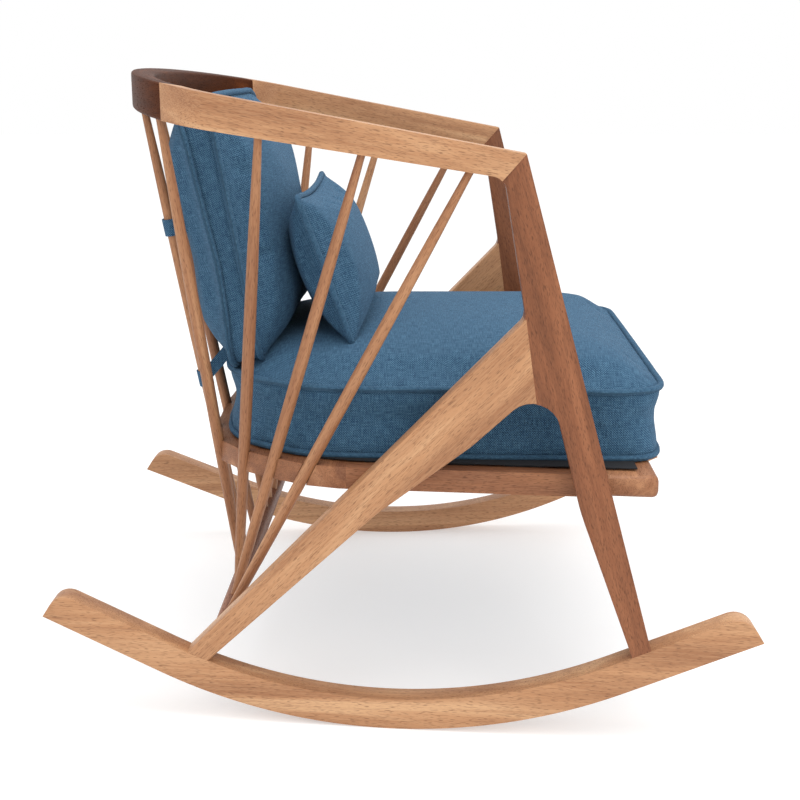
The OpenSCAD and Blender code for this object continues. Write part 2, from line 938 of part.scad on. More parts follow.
// How deep a strap is trimmed behind the back of the cushion's edge
loop_seam_depth = 10;
module cushion_loop(h) {
    i = loop_spindle;
    p = spindle_at(i, h[0]);
    along = (p[2] - cross_rail_z) * spindle_long(i) / (spindle_top[i][2] - cross_rail_z);
    inner = spindle_d_max / 2 + 0.3;
    reach = [loop_strap_run, h[1] - h[0]];
    difference() {
        union() {
            on_spindle(i)
                translate([0, 0, along - loop_w / 2])
                    cylinder(r = inner + loop_t, h = loop_w, $fn = 40);
            translate(p)
                rotate([0, -atan2(reach[1], reach[0]), 0])
                    translate([0, -loop_t, -loop_strap_w / 2])
                        cube([norm(reach), 2 * loop_t, loop_strap_w]);
        }
        on_spindle(i)
            cylinder(r = inner, h = spindle_long(i), $fn = 40);
        back_cushion_shape();
        in_back_cushion()
            translate([-loop_seam_depth, 0, -far / 2])
                cube([far, far, far]);
    }
}

module cushion_loops() {
    color(blue)
        for (side = [right, left], h = loop_heights)
            on_side(side)
                cushion_loop(h);
}

// ---- Throw pillow -------------------------------------------------------------------

// The pillow stands on the crown of the seat cushion: its middle over the cushion's edge
pillow_over_seat = 141.3;
pillow_at = [-80, cushion_top_z + pillow_over_seat];
pillow_steps = 10;
pillow_seam = 3;

// Lens with blunt ends: half a thickness t at its middle, half a length l
module pillow_lens(l, t) {
    polygon([
        for (i = [-pillow_steps : pillow_steps])
            let (u = i / pillow_steps)
            [pillow_seam + (t - pillow_seam) * bulge(u, 2.2), l * u],
        for (i = [pillow_steps : -1 : -pillow_steps])
            let (u = i / pillow_steps)
            [-pillow_seam - (t - pillow_seam) * bulge(u, 2.2), l * u]
    ]);
}

module throw_pillow() {
    color(blue)
        translate([pillow_at[0], 0, pillow_at[1]])
            rotate([0, -pillow_lean, 0])
                intersection() {
                    translate([0, pillow_w / 2, 0])
                        rotate([90, 0, 0])
                            linear_extrude(height = pillow_w)
                                pillow_lens(pillow_l / 2, pillow_t / 2);
                    translate([0, 0, -pillow_l / 2])
                        linear_extrude(height = pillow_l)
                            pillow_lens(pillow_w / 2, pillow_t / 2);
                }
}

// ---- Dowels -----------------------------------------------------------------------

module side_frame_dowels() {
    color(wood)
        for (side = [right, left]) on_side(side) frame_dowels(0);
}

module top_rail_dowels() {
    color(wood)
        for (side = [right, left])
            on_side(side) {
                mitre_dowel(0);
                bow_dowels(0);
            }
}

module seat_dowels() {
    color(wood)
        for (side = [right, left])
            on_side(side) {
                seat_side_dowels(0);
                seat_frame_dowels(0);
            }
}

// ---- Nodes --------------------------------------------------------------------------

rocker(right);  // right_rocker
rocker(left);  // left_rocker
front_leg(right);  // right_front_leg
front_leg(left);  // left_front_leg
brace(right);  // right_brace
brace(left);  // left_brace
arm(right);  // right_arm
arm(left);  // left_arm
back_bow();
spindle(0, right);  // right_spindle_1
spindle(1, right);  // right_spindle_2
spindle(2, right);  // right_spindle_3
spindle(3, right);  // right_spindle_4
spindle(4, right);  // right_spindle_5
spindle(middle, left);  // middle_spindle
spindle(0, left);  // left_spindle_1
spindle(1, left);  // left_spindle_2
spindle(2, left);  // left_spindle_3
spindle(3, left);  // left_spindle_4
spindle(4, left);  // left_spindle_5
cross_rail();
seat_front_rail();
seat_back_rail();
seat_side_rail(right);  // right_seat_rail
seat_side_rail(left);  // left_seat_rail
seat_webbing();
platform_cloth();
side_frame_dowels();
top_rail_dowels();
seat_dowels();
back_cushion();
cushion_loops();
seat_cushion();
throw_pillow();
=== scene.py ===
"""Rocking chair in oiled open-pored hardwood with blue woven cushions.

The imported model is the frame. The wooden parts are copies of its solids with eased
edges; the cushions are worked out with numpy, swollen as cloth and piped along their
seams. Everything is in metres: +X forward, +Y to the sitter's left, +Z up.
"""

import json
import logging
import math
from dataclasses import dataclass, field
from enum import Enum
from typing import Callable, Iterable, Optional, Sequence

import bmesh
import bpy
import numpy as np
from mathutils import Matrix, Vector
from mathutils.bvhtree import BVHTree

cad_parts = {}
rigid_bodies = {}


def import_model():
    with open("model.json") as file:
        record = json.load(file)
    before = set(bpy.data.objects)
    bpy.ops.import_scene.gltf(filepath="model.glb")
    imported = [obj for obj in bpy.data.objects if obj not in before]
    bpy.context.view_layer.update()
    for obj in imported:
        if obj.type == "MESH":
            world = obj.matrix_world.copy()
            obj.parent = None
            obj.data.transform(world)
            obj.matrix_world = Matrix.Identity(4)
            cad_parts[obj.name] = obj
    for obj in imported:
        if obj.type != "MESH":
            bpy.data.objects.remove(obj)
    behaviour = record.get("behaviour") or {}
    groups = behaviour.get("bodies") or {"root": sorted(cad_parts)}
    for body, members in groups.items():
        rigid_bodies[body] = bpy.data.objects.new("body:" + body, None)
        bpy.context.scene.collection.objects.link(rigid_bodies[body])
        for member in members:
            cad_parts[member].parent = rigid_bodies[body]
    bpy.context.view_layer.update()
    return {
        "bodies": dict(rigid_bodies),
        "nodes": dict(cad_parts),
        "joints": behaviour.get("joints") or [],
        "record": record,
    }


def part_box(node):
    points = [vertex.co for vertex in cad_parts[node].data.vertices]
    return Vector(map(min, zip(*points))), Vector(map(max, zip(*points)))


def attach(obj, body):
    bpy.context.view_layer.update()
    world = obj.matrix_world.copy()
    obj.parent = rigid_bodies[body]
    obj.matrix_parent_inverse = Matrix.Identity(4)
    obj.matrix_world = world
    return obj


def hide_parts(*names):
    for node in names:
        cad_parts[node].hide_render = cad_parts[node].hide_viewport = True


LOG = logging.getLogger("chair")
MM = 0.001


# ---------------------------------------------------------------- small helpers


def linear(hex_colour: str) -> tuple[float, float, float, float]:
    """Turns an sRGB hex colour such as "a5694a" into linear RGBA.

    Args:
        hex_colour: Six hex digits, without a hash.

    Returns:
        Linear red, green, blue and an alpha of 1.
    """
    parts = [int(hex_colour[i : i + 2], 16) / 255 for i in (0, 2, 4)]
    lin = [c / 12.92 if c <= 0.04045 else ((c + 0.055) / 1.055) ** 2.4 for c in parts]
    return (lin[0], lin[1], lin[2], 1.0)


def smooth_step(x: np.ndarray) -> np.ndarray:
    """Eases from 0 to 1.

    Args:
        x: Values.

    Returns:
        0 below 0, 1 above 1, and 3x^2 - 2x^3 between them.
    """
    x = np.clip(x, 0.0, 1.0)
    return x * x * (3.0 - 2.0 * x)


def new_object(name: str, verts: np.ndarray, faces: Sequence[Sequence[int]]) -> bpy.types.Object:
    """Makes a smooth-shaded mesh object from whole arrays.

    Args:
        name: Name of the object and its mesh.
        verts: Points, one row each, in metres.
        faces: Corner numbers of each face.

    Returns:
        The object, linked to the scene.
    """
    mesh = bpy.data.meshes.new(name)
    mesh.from_pydata(np.asarray(verts, float).tolist(), [], [list(map(int, f)) for f in faces])
    mesh.polygons.foreach_set("use_smooth", np.ones(len(mesh.polygons), bool))
    mesh.update()
    obj = bpy.data.objects.new(name, mesh)
    bpy.context.scene.collection.objects.link(obj)
    return obj


def points_of(mesh: bpy.types.Mesh) -> np.ndarray:
    """All vertex positions of a mesh, one row each."""
    co = np.empty(len(mesh.vertices) * 3)
    mesh.vertices.foreach_get("co", co)
    return co.reshape(-1, 3)


def set_points(mesh: bpy.types.Mesh, co: np.ndarray) -> None:
    """Writes vertex positions back into a mesh."""
    mesh.vertices.foreach_set("co", np.ascontiguousarray(co, float).ravel())
    mesh.update()


def normals_of(mesh: bpy.types.Mesh) -> np.ndarray:
    """All vertex normals of a mesh, one row each."""
    no = np.empty(len(mesh.vertices) * 3)
    mesh.vertices.foreach_get("normal", no)
    return no.reshape(-1, 3)


def store_vectors(mesh: bpy.types.Mesh, name: str, values: np.ndarray) -> None:
    """Stores one vector per vertex as an attribute that a material can read."""
    layer = mesh.attributes.new(name, "FLOAT_VECTOR", "POINT")
    layer.data.foreach_set("vector", np.ascontiguousarray(values, np.float32).ravel())


def grid_faces(rows: int, cols: int, wrap: bool) -> list[tuple[int, int, int, int]]:
    """Quads of a grid of points stored row by row.

    Args:
        rows: Number of rows of points.
        cols: Number of points in a row.
        wrap: True if each row closes on itself.

    Returns:
        Four corner numbers for each quad.
    """
    span = cols if wrap else cols - 1
    r, c = np.meshgrid(np.arange(rows - 1), np.arange(span), indexing="ij")
    a = (r * cols + c).ravel()
    b = (r * cols + (c + 1) % cols).ravel()
    return list(zip(a, b, b + cols, a + cols))


def tube(name: str, path: np.ndarray, radius: float, sides: int = 10) -> bpy.types.Object:
    """Makes a closed round cord along a closed path.

    Each point gets a ring: centre + radius * (cos t * side + sin t * up). Side is square
    to the path's direction and to one fixed, nearly upright direction, and up is square
    to both the path and side.

    Args:
        name: Name of the piece.
        path: Closed path, one point per row, without the first point repeated.
        radius: Radius of the cord.
        sides: Number of points round the cord.

    Returns:
        The cord's object.
    """
    ahead = np.roll(path, -1, 0) - np.roll(path, 1, 0)
    ahead /= np.linalg.norm(ahead, axis=1)[:, None]
    rough_up = np.array([0.23, 0.11, 0.97])
    side = np.cross(ahead, rough_up)
    side /= np.linalg.norm(side, axis=1)[:, None]
    up = np.cross(side, ahead)
    t = np.linspace(0, 2 * math.pi, sides, endpoint=False)
    ring = path[:, None] + radius * (
        np.cos(t)[None, :, None] * side[:, None] + np.sin(t)[None, :, None] * up[:, None]
    )
    verts = ring.reshape(-1, 3)
    faces = grid_faces(len(path), sides, True)
    last = (len(path) - 1) * sides
    k = np.arange(sides)
    faces += list(zip(last + k, last + (k + 1) % sides, (k + 1) % sides, k))
    obj = new_object(name, verts, faces)
    tidy_normals(obj.data)
    return obj


def tidy_normals(mesh: bpy.types.Mesh) -> None:
    """Makes every face of a closed mesh point outwards.

    Args:
        mesh: The mesh, changed in place.
    """
    bm = bmesh.new()
    bm.from_mesh(mesh)
    bmesh.ops.recalc_face_normals(bm, faces=bm.faces)
    bm.to_mesh(mesh)
    bm.free()


def resample(path: np.ndarray, count: int) -> np.ndarray:
    """Spaces a closed path's points evenly along its length.

    Args:
        path: Closed path, one point per row.
        count: Number of points wanted.

    Returns:
        Points at equal steps of length, by straight lines between the given ones.
    """
    loop = np.vstack([path, path[:1]])
    run = np.concatenate([[0], np.cumsum(np.linalg.norm(np.diff(loop, axis=0), axis=1))])
    want = np.linspace(0, run[-1], count, endpoint=False)
    return np.stack([np.interp(want, run, loop[:, i]) for i in range(loop.shape[1])], 1)


# ---------------------------------------------------------------- materials


class Finish:
    """Base of the finishes: makes one node material and caches it."""

    name: str = "finish"

    def __init__(self) -> None:
        """Starts with no material made."""
        self.made: Optional[bpy.types.Material] = None

    def material(self) -> bpy.types.Material:
        """The node material, made on first use."""
        if self.made is None:
            self.made = bpy.data.materials.new(self.name)
            self.made.use_nodes = True
            self.tree = self.made.node_tree
            self.shader = self.tree.nodes["Principled BSDF"]
            self.build()
        return self.made

    def node(self, kind: str, settings: Optional[dict] = None, **links: object) -> bpy.types.Node:
        """Adds a node, sets its properties, and links or sets its inputs.

        Args:
            kind: Blender's name of the node type.
            settings: Properties of the node.
            **links: Inputs by name, with underscores for spaces; "in0" means number 0.

        Returns:
            The node.
        """
        made = self.tree.nodes.new(kind)
        for key, value in (settings or {}).items():
            setattr(made, key, value)
        for key, value in links.items():
            place = int(key[2:]) if key[:2] == "in" else key.replace("_", " ")
            socket = made.inputs[place]
            if isinstance(value, bpy.types.NodeSocket):
                self.tree.links.new(value, socket)
            else:
                socket.default_value = value
        return made

    def ramp(self, value: bpy.types.NodeSocket, stops: Iterable[tuple[float, str]]) -> bpy.types.NodeSocket:
        """Adds a colour ramp.

        Args:
            value: What the ramp reads.
            stops: Places on the ramp, each with its sRGB hex colour.

        Returns:
            The ramp's colour.
        """
        made = self.node("ShaderNodeValToRGB", Fac=value)
        bar = made.color_ramp.elements
        for i, (place, colour) in enumerate(stops):
            stop = bar[i] if i < 2 else bar.new(place)
            stop.position = place
            stop.color = linear(colour)
        return made.outputs["Color"]

    def scaled(
        self, at: bpy.types.NodeSocket, scale: tuple[float, float, float], shift: float = 0.0
    ) -> bpy.types.NodeSocket:
        """Scales coordinates in each direction and shifts them along the first."""
        made = self.node("ShaderNodeMapping", Vector=at, Scale=scale, Location=(shift, 0, 0))
        return made.outputs[0]

    def noise(self, at: bpy.types.NodeSocket, detail: float, **extra: float) -> bpy.types.NodeSocket:
        """Adds noise of unit scale and returns its value."""
        made = self.node("ShaderNodeTexNoise", Vector=at, Scale=1.0, Detail=detail, **extra)
        return made.outputs["Fac"]

    def remap(
        self, value: bpy.types.NodeSocket, given: tuple[float, float], wanted: tuple[float, float]
    ) -> bpy.types.NodeSocket:
        """Turns one range of values into another, clamped at its ends."""
        made = self.node(
            "ShaderNodeMapRange", Value=value, in1=given[0], in2=given[1], in3=wanted[0], in4=wanted[1]
        )
        return made.outputs[0]

    def sums(self, operation: str, *values: object) -> bpy.types.NodeSocket:
        """Adds one arithmetic node over two or three values."""
        inputs = {f"in{i}": value for i, value in enumerate(values)}
        return self.node("ShaderNodeMath", {"operation": operation}, **inputs).outputs[0]

    def blend(self, share: bpy.types.NodeSocket, under: object, over: object) -> bpy.types.NodeSocket:
        """Mixes two colours by a share."""
        made = self.node("ShaderNodeMix", {"data_type": "RGBA"}, in0=share, in6=under, in7=over)
        return made.outputs[2]

    def wire(self, socket: str, value: bpy.types.NodeSocket) -> None:
        """Links a value to one of the shader's inputs."""
        self.tree.links.new(value, self.shader.inputs[socket])

    def build(self) -> None:
        """Lays out the nodes; each finish has its own."""


class OiledHardwood(Finish):
    """Open-pored tropical hardwood under a satin oil.

    Fine long fibres run along the piece, slow bands of light and dark come from the
    growth layers, and the cut pores show as short dark dashes that break the sheen.
    """

    def __init__(
        self, name: str, light: str, mid: str, dark: str, pore: str, turn: float = 0.0, shine: float = 0.38
    ) -> None:
        """Keeps the wood's colours.

        Args:
            name: Name of the material.
            light: sRGB hex colour of the lightest bands.
            mid: Colour of most of the wood.
            dark: Colour of the darkest bands.
            pore: Colour of the pores.
            turn: Shift along the grain, so that two woods do not share a figure.
            shine: Specular level of the oil.
        """
        super().__init__()
        self.name = name
        self.light, self.mid, self.dark, self.pore = light, mid, dark, pore
        self.turn, self.shine = turn, shine

    def build(self) -> None:
        """Fibres, growth bands, pores and the oil's sheen."""
        grain = self.node("ShaderNodeAttribute", {"attribute_name": "grain"}).outputs["Vector"]
        # Growth bands: 15 to 40 mm wide and drawn out along the fibres, slightly wavy.
        slow = self.scaled(grain, (2.2, 26.0, 26.0), self.turn)
        bands = self.noise(slow, 3.0, Roughness=0.55, Distortion=0.6)
        tone = self.ramp(bands, ((0.34, self.dark), (0.52, self.mid), (0.68, self.light)))
        # Rings: a narrower figure of about 10 mm that follows the bands.
        rings = self.noise(self.scaled(grain, (1.6, 95.0, 95.0)), 2.0, Roughness=0.5, Distortion=1.6)
        ringed = self.blend(self.remap(rings, (0.4, 0.62), (0.0, 0.42)), tone, linear(self.dark))
        # Fibres: threads about 1.6 mm wide and 60 mm long.
        fibre = self.noise(self.scaled(grain, (17.0, 620.0, 620.0)), 2.0, Roughness=0.6)
        fibred = self.blend(self.remap(fibre, (0.3, 0.7), (0.0, 0.34)), ringed, linear(self.light))
        # Pores: dashes about 8 mm long and under 1 mm wide.
        pores = self.noise(self.scaled(grain, (120.0, 1300.0, 1300.0)), 0.0)
        pore_mix = self.remap(pores, (0.6, 0.72), (0.0, 0.55))
        self.wire("Base Color", self.blend(pore_mix, fibred, linear(self.pore)))
        self.wire("Roughness", self.remap(pore_mix, (0.0, 0.6), (0.45, 0.68)))
        depth = self.sums("SUBTRACT", fibre, pore_mix)
        bump = self.node("ShaderNodeBump", Strength=0.35, Distance=0.35 * MM, Height=depth)
        self.wire("Normal", bump.outputs[0])
        self.shader.inputs["IOR"].default_value = 1.46
        self.shader.inputs["Specular IOR Level"].default_value = self.shine


class WovenUpholstery(Finish):
    """Heavy blue upholstery cloth: a twill of mixed light and dark yarns.

    The weave reads the "weave" UV map, in metres, so its threads run with each panel.
    """

    def __init__(self, name: str, dark: str, mid: str, light: str, pitch_mm: float) -> None:
        """Keeps the cloth's three sRGB hex colours and the pitch of its yarns."""
        super().__init__()
        self.name = name
        self.dark, self.mid, self.light, self.pitch_mm = dark, mid, light, pitch_mm

    def build(self) -> None:
        """Two sets of yarns in a twill, their colour changes and the fuzz.

        Warp and weft are sines of the two coordinates, and the twill is a sine of their
        sum. One turn of a sine is two pitches.
        """
        uv = self.node("ShaderNodeUVMap", {"uv_map": "weave"}).outputs[0]
        turns = 1000.0 / self.pitch_mm * math.pi
        parts = self.node("ShaderNodeSeparateXYZ", Vector=uv)
        warp_at = self.sums("MULTIPLY", parts.outputs[0], turns)
        weft_at = self.sums("MULTIPLY", parts.outputs[1], turns)
        cross = self.sums("MULTIPLY", self.sums("SINE", warp_at), self.sums("SINE", weft_at))
        twill = self.sums("SINE", self.sums("ADD", warp_at, weft_at))
        weave = self.sums("MULTIPLY_ADD", twill, 0.45, cross)
        # Yarn colour: streaks about 1 mm wide and 14 mm long in both directions.
        along = self.noise(self.scaled(uv, (70.0, 900.0, 1.0)), 2.0)
        down = self.noise(self.scaled(uv, (900.0, 70.0, 1.0)), 2.0)
        level = self.sums("MULTIPLY_ADD", weave, 0.32, self.sums("ADD", along, down))
        shade = self.remap(level, (0.62, 1.38), (0.0, 1.0))
        self.wire("Base Color", self.ramp(shade, ((0.05, self.dark), (0.5, self.mid), (0.95, self.light))))
        bump = self.node("ShaderNodeBump", Strength=0.8, Distance=0.8 * MM, Height=level)
        self.wire("Normal", bump.outputs[0])
        self.shader.inputs["Roughness"].default_value = 0.88
        self.shader.inputs["Specular IOR Level"].default_value = 0.25
        self.shader.inputs["Sheen Weight"].default_value = 0.12
        self.shader.inputs["Sheen Roughness"].default_value = 0.45
        self.shader.inputs["Sheen Tint"].default_value = linear("8fb4d6")


class DarkCloth(Finish):
    """Black polypropylene cloth or elastic: a plain weave with a faint grey rib."""

    def __init__(self, name: str, pitch_mm: float, base: str, rib: str) -> None:
        """Keeps the rib's pitch and the sRGB hex colours of cloth and rib."""
        super().__init__()
        self.name, self.pitch_mm, self.base, self.rib = name, pitch_mm, base, rib

    def build(self) -> None:
        """Ribs across and along, from object coordinates."""
        at = self.node("ShaderNodeTexCoord").outputs["Object"]
        # A wave of scale 1 turns once in 2 pi / 20 of a unit.
        scale = 1000.0 / self.pitch_mm / 20.0 * 6.3
        ribs, rows = (
            self.node("ShaderNodeTexWave", {"bands_direction": way}, Vector=at, Scale=scale, Distortion=0.4)
            for way in ("X", "Y")
        )
        both = self.sums("MULTIPLY", ribs.outputs["Fac"], rows.outputs["Fac"])
        self.wire("Base Color", self.ramp(both, ((0.1, self.base), (0.9, self.rib))))
        bump = self.node("ShaderNodeBump", Strength=0.4, Distance=0.4 * MM, Height=both)
        self.wire("Normal", bump.outputs[0])
        self.shader.inputs["Roughness"].default_value = 0.8


class StudioPaper(Finish):
    """White seamless background paper, matt, with a trace of mottle."""

    name = "white_background_paper"
    glow: float = 0.42

    def build(self) -> None:
        """A nearly even white."""
        at = self.node("ShaderNodeTexCoord").outputs["Object"]
        mottle = self.noise(self.scaled(at, (3.0, 3.0, 3.0)), 2.0)
        colour = self.ramp(mottle, ((0.3, "cfcfcf"), (0.7, "d2d2d2")))
        self.tree.links.new(colour, self.shader.inputs["Base Color"])
        self.shader.inputs["Roughness"].default_value = 0.95
        self.shader.inputs["Specular IOR Level"].default_value = 0.1
        self.shader.inputs["Emission Color"].default_value = (1.0, 1.0, 1.0, 1.0)
        self.shader.inputs["Emission Strength"].default_value = self.glow


class Paint(Enum):
    """The finishes of the chair, by what they go on."""

    FRAME = "frame"
    LEG = "leg"
    RAIL = "rail"
    SPINDLE = "spindle"
    SEAT = "seat"
    DOWEL = "dowel"
    CLOTH = "cloth"
    WEBBING = "webbing"
    LINING = "lining"


def make_finishes() -> dict[Paint, Finish]:
    """All finishes, keyed by what they go on."""
    wood = OiledHardwood
    return {
        Paint.FRAME: wood("oiled_hardwood_frame", "cba078", "b4835c", "936342", "664530"),
        # Also used on the cross rail, where its darker colours are painted shade for the shadow under the
        # seat.
        Paint.LEG: wood("oiled_hardwood_leg_and_rail_painted_shade", "97603f", "7e4b2e", "633820", "452818", 3.0),
        # Painted shade: the bow's colours are far darker than the frame's wood, standing in for the shade
        # on its rear-facing faces.
        Paint.RAIL: wood("oiled_hardwood_bow_painted_shade", "63351a", "4a2511", "341708", "240d05", 7.0, 0.05),
        Paint.SPINDLE: wood("oiled_hardwood_spindle", "b98a64", "9c6a47", "7e4f33", "5b3926", 5.0),
        Paint.SEAT: wood("oiled_hardwood_seat", "ac7a56", "8c5a3a", "6c4029", "4a2c1b", 9.0),
        Paint.DOWEL: wood("beech_dowel", "dcbb90", "cfa679", "b98c60", "96683f", 2.0),
        Paint.CLOTH: WovenUpholstery("blue_twill_upholstery", "1e3a55", "345773", "527891", 1.5),
        Paint.WEBBING: DarkCloth("black_elastic_webbing", 2.5, "17171a", "34343a"),
        Paint.LINING: DarkCloth("black_platform_cloth", 1.5, "131316", "26262b"),
    }


# ---------------------------------------------------------------- wooden parts


@dataclass(frozen=True)
class WoodPart:
    """A wooden part as it looks: which solid, how its grain runs, how soft its edges are."""

    node: str
    paint: Paint
    slot: str
    along: Vector
    ease_mm: float = 2.5
    bend: bool = False


@dataclass
class WoodShop:
    """Turns the frame's wooden solids into pieces with eased edges and a grain."""

    frame: dict
    finishes: dict[Paint, Finish]
    meet_gap: float = 0.35 * MM
    sharp: float = math.radians(28)
    flat: float = math.radians(0.4)
    trees: dict[str, BVHTree] = field(default_factory=dict)

    def merged(self, node: str) -> bmesh.types.BMesh:
        """Copies a solid.

        Args:
            node: Name of the solid.

        Returns:
            Its mesh with doubled points merged.
        """
        bm = bmesh.new()
        bm.from_mesh(self.frame["nodes"][node].data)
        bmesh.ops.remove_doubles(bm, verts=bm.verts, dist=0.01 * MM)
        bmesh.ops.dissolve_degenerate(bm, edges=bm.edges, dist=0.01 * MM)
        return bm

    def tree(self, node: str) -> BVHTree:
        """Makes a search tree over a solid's surface, once.

        Args:
            node: Name of the solid.

        Returns:
            The tree.
        """
        if node not in self.trees:
            bm = self.merged(node)
            self.trees[node] = BVHTree.FromBMesh(bm)
            bm.free()
        return self.trees[node]

    def neighbours(self, node: str) -> list[str]:
        """Finds what a solid may touch.

        Args:
            node: Name of the solid.

        Returns:
            Names of the other hard solids whose boxes come within 2 mm of its own.
        """
        lo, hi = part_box(node)
        near = []
        for other, obj in self.frame["nodes"].items():
            if other == node or "cushion" in other or "pillow" in other or "cloth" in other:
                continue
            o_lo, o_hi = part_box(other)
            if all(o_lo[i] < hi[i] + 0.002 and o_hi[i] > lo[i] - 0.002 for i in range(3)):
                near.append(other)
        return near

    def grain(self, co: np.ndarray, part: WoodPart) -> np.ndarray:
        """Coordinates that run along, across and through the grain.

        A straight part uses three square directions from its own length. The bow uses
        the angle round its middle times the mean radius, so the grain bends with it.

        Args:
            co: Points of the part.
            part: The part.

        Returns:
            One vector per point, in metres.
        """
        if part.bend:
            lo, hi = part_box("back_bow")
            centre = np.array([hi.x, 0.0])
            flat = co[:, :2] - centre
            angle = np.arctan2(flat[:, 1], -flat[:, 0])
            radius = np.linalg.norm(flat / np.array([(hi.x - lo.x), hi.y]), axis=1)
            return np.stack([angle * 0.30, co[:, 2], radius * 0.3], 1)
        along = np.array(part.along.normalized())
        across = np.cross(along, [0.0, 1.0, 0.0])
        if np.linalg.norm(across) < 0.2:
            across = np.array([1.0, 0.0, 0.0])
        across /= np.linalg.norm(across)
        through = np.cross(along, across)
        shift = np.array([sum(map(ord, part.node)) % 17, 0.31, 0.17])
        return np.stack([co @ along, co @ across, co @ through], 1) + shift * 0.1

    def make(self, part: WoodPart) -> bpy.types.Object:
        """Builds one piece: merged copy, eased free edges, grain, finish.

        Edges that lie against another solid stay crisp, so joints stay tight lines.

        Args:
            part: What to build.

        Returns:
            The piece, which stands for its solid.
        """
        bm = self.merged(part.node)
        if part.ease_mm:
            bmesh.ops.dissolve_limit(
                bm,
                angle_limit=self.flat,
                verts=bm.verts,
                edges=bm.edges,
                use_dissolve_boundaries=False,
            )
            near = [self.tree(n) for n in self.neighbours(part.node)]
            free = []
            for edge in bm.edges:
                if len(edge.link_faces) != 2 or edge.calc_face_angle() < self.sharp:
                    continue
                spots = [edge.verts[0].co.lerp(edge.verts[1].co, t) for t in (0.1, 0.5, 0.9)]
                meets = sum(
                    any(t.find_nearest(s, self.meet_gap)[0] is not None for t in near) for s in spots
                )
                if meets < 2:
                    free.append(edge)
            bmesh.ops.bevel(
                bm,
                geom=free,
                offset=part.ease_mm * MM,
                offset_type="OFFSET",
                segments=3,
                profile=0.5,
                affect="EDGES",
                clamp_overlap=True,
                miter_outer="ARC",
            )
            bmesh.ops.triangulate(bm, faces=[f for f in bm.faces if len(f.verts) > 4])
        for edge in bm.edges:
            edge.smooth = len(edge.link_faces) != 2 or edge.calc_face_angle(0.0) < self.sharp
        for face in bm.faces:
            face.smooth = True
        mesh = bpy.data.meshes.new(part.node + "_eased")
        bm.to_mesh(mesh)
        bm.free()
        store_vectors(mesh, "grain", self.grain(points_of(mesh), part))
        piece = bpy.data.objects.new(part.node + "_eased", mesh)
        bpy.context.scene.collection.objects.link(piece)
        mesh.materials.append(self.finishes[part.paint].material())
        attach(piece, "chair")
        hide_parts(part.node)
        LOG.info("%s: %d faces", piece.name, len(mesh.polygons))
        return piece


@dataclass
class WoodenFrame:
    """Rockers, legs, braces, rail, spindles, cross rail and seat frame."""

    shop: WoodShop

    def parts(self) -> list[WoodPart]:
        """Lists the wooden parts.

        Returns:
            Every wooden part with its finish, grain direction and edge.
        """
        out: list[WoodPart] = []
        for side, sign in (("right", -1), ("left", 1)):
            toe = Vector((1, sign * 0.08, 0))
            out.append(WoodPart(f"{side}_rocker", Paint.FRAME, "rocker_wood", toe, 3.0))
            out.append(WoodPart(f"{side}_front_leg", Paint.LEG, "frame_wood", Vector((-0.27, 0, 1)), 3.0))
            out.append(WoodPart(f"{side}_brace", Paint.FRAME, "frame_wood", Vector((0.70, 0, 0.70)), 3.0))
            out.append(WoodPart(f"{side}_arm", Paint.FRAME, "frame_wood", Vector((1, 0, -0.19)), 3.5))
            out.append(WoodPart(f"{side}_seat_rail", Paint.SEAT, "seat_wood", Vector((1, 0, 0)), 8.0))
            for i in range(1, 6):
                lo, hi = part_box(f"{side}_spindle_{i}")
                lean = 1.0 if i <= 3 else -1.0
                axis = Vector(((hi.x - lo.x) * lean, sign * (hi.y - lo.y), hi.z - lo.z))
                out.append(WoodPart(f"{side}_spindle_{i}", Paint.SPINDLE, "spindle_wood", axis, 0.0))
        lo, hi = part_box("middle_spindle")
        axis = Vector((lo.x - hi.x, 0, hi.z - lo.z))
        out.append(WoodPart("middle_spindle", Paint.SPINDLE, "spindle_wood", axis, 0.0))
        # The bow takes the darkened finish, which is painted shade for its rear-facing faces.
        out.append(WoodPart("back_bow", Paint.RAIL, "rail_wood", Vector((0, 1, 0)), 3.5, True))
        # Painted shade: the cross rail takes the legs' darker, redder wood, standing in for the shadow
        # under the seat.
        out.append(WoodPart("cross_rail", Paint.LEG, "rail_wood", Vector((0, 1, 0)), 0.0))
        out.append(WoodPart("seat_front_rail", Paint.SEAT, "seat_wood", Vector((0, 1, 0)), 8.0))
        out.append(WoodPart("seat_back_rail", Paint.SEAT, "seat_wood", Vector((0, 1, 0)), 8.0))
        for name in ("side_frame_dowels", "top_rail_dowels", "seat_dowels"):
            out.append(WoodPart(name, Paint.DOWEL, "dowel_wood", Vector((1, 0, 0)), 0.0))
        return out

    def build(self) -> None:
        """Builds every part."""
        for part in self.parts():
            self.shop.make(part)


# ---------------------------------------------------------------- cushions


@dataclass
class ClothSettings:
    """How a stuffed form is swollen: voxel size, pressure and how far its skin may go."""

    voxel: float = 6.0 * MM
    pressure: float = 4.0
    frames: int = 20
    cap: float = 20.0 * MM
    seam_hold: float = 55.0 * MM
    seam_play: float = 1.0 * MM
    tension: float = 12.0
    squeeze: float = 8.0
    bending: float = 0.6


